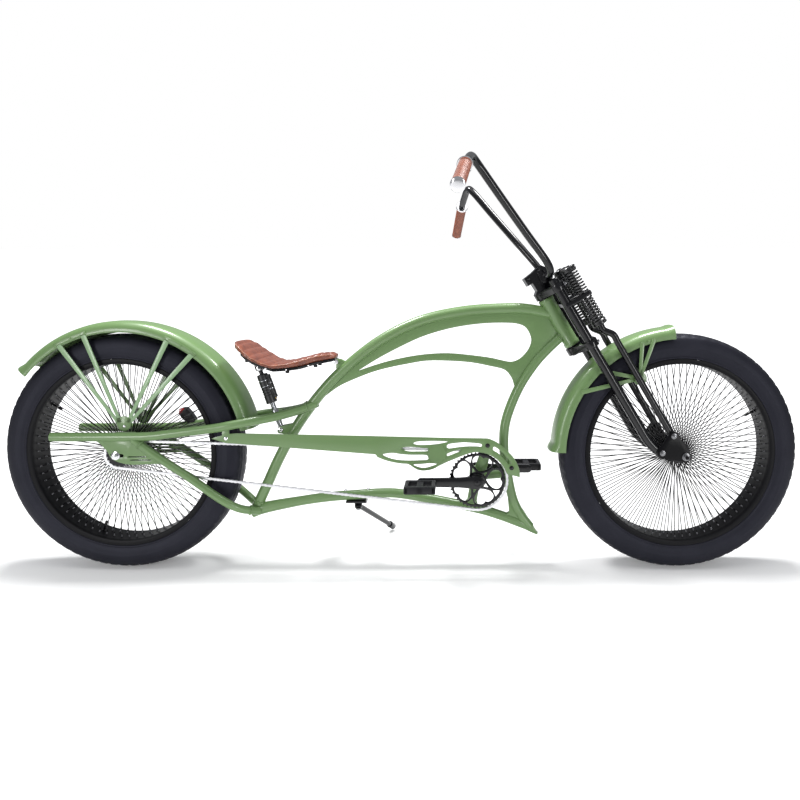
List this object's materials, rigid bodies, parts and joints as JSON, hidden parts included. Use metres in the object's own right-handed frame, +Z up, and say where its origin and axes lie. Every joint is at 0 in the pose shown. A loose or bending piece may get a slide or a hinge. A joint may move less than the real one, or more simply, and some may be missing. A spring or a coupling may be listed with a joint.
{
  "type": "chopper bicycle",
  "caption": "Low-slung chopper bicycle with a looped tube frame, springer fork, high handlebar, chain drive with guard, sprung seat, fenders and side stand.",
  "frame": {"origin": "centre of the overall bounding box, on the ground", "axes": "+X forward along the bicycle, +Y to its left, +Z up; it leans 6 degrees to its left on the side stand"},
  "size_m": [2.3676, 1.016, 1.2055],
  "materials": {
    "green_paint": "gloss",
    "steel": "satin",
    "black_enamel": "gloss",
    "tyre_rubber": "matt",
    "brown_leather": "satin",
    "chrome": "polished",
    "lamp_black": "gloss"
  },
  "bodies": {
    "frame": {"head_tube": "green_paint", "main_tube": "green_paint", "down_tube": "green_paint", "frame_web": "green_paint", "bottom_tube": "green_paint", "upper_stay_right": "green_paint", "upper_stay_left": "green_paint", "lower_stay_right": "green_paint", "lower_stay_left": "green_paint", "bottom_bracket": "green_paint", "chain": "steel", "chain_guard": "green_paint", "rear_fender": "green_paint", "rear_axle": "chrome", "seat": "brown_leather", "seat_pan": "black_enamel", "shock_body": "black_enamel", "shock_shaft": "steel", "tail_lamp": "lamp_black", "stand_bracket": "black_enamel"},
    "fork": {"steering_stem": "black_enamel", "spring_perch": "black_enamel", "fork_leg_right": "black_enamel", "fork_leg_left": "black_enamel", "spring_leg_right": "black_enamel", "spring_leg_left": "black_enamel", "spring_stack_right": "black_enamel", "spring_stack_left": "black_enamel", "rockers_and_axle": "black_enamel", "front_fender": "green_paint", "handlebar": "black_enamel", "grip_right": "brown_leather", "grip_left": "brown_leather"},
    "front_wheel": {"front_tyre": "tyre_rubber", "front_rim": "black_enamel", "front_hub": "black_enamel"},
    "rear_wheel": {"rear_tyre": "tyre_rubber", "rear_rim": "black_enamel", "rear_hub": "black_enamel"},
    "crank": {"chainring": "black_enamel", "crankset": "black_enamel"},
    "pedal_right": {"pedal_right": "black_enamel"},
    "pedal_left": {"pedal_left": "black_enamel"},
    "stand": {"side_stand": "black_enamel"}
  },
  "joints": [
    {"name": "steering", "type": "hinge", "parent": "frame", "child": "fork", "pos_m": [0.4725, -0.03379, 0.74071], "axis": [-0.515, 0.0896, 0.8525], "range_deg": [-40, 40]},
    {"name": "front_wheel_spin", "type": "hinge", "parent": "fork", "child": "front_wheel", "pos_m": [0.83, -0.0745, 0.35334], "axis": [0, 0.9945, -0.1045], "continuous": true},
    {"name": "rear_wheel_spin", "type": "hinge", "parent": "frame", "child": "rear_wheel", "pos_m": [-0.83, -0.0745, 0.35334], "axis": [0, 0.9945, -0.1045], "continuous": true},
    {"name": "crank_spin", "type": "hinge", "parent": "frame", "child": "crank", "pos_m": [0.2266, -0.08265, 0.27577], "axis": [0, 0.9945, -0.1045], "continuous": true},
    {"name": "pedal_right_spin", "type": "hinge", "parent": "crank", "child": "pedal_right", "pos_m": [0.0616, -0.08265, 0.27577], "axis": [0, 0.9945, -0.1045], "continuous": true},
    {"name": "pedal_left_spin", "type": "hinge", "parent": "crank", "child": "pedal_left", "pos_m": [0.3916, -0.08265, 0.27577], "axis": [0, 0.9945, -0.1045], "continuous": true},
    {"name": "stand_fold", "type": "hinge", "parent": "frame", "child": "stand", "pos_m": [-0.14, -0.05783, 0.16758], "axis": [-0.0947, 0.686, 0.7214], "range_deg": [0, 107.01]}
  ]
}
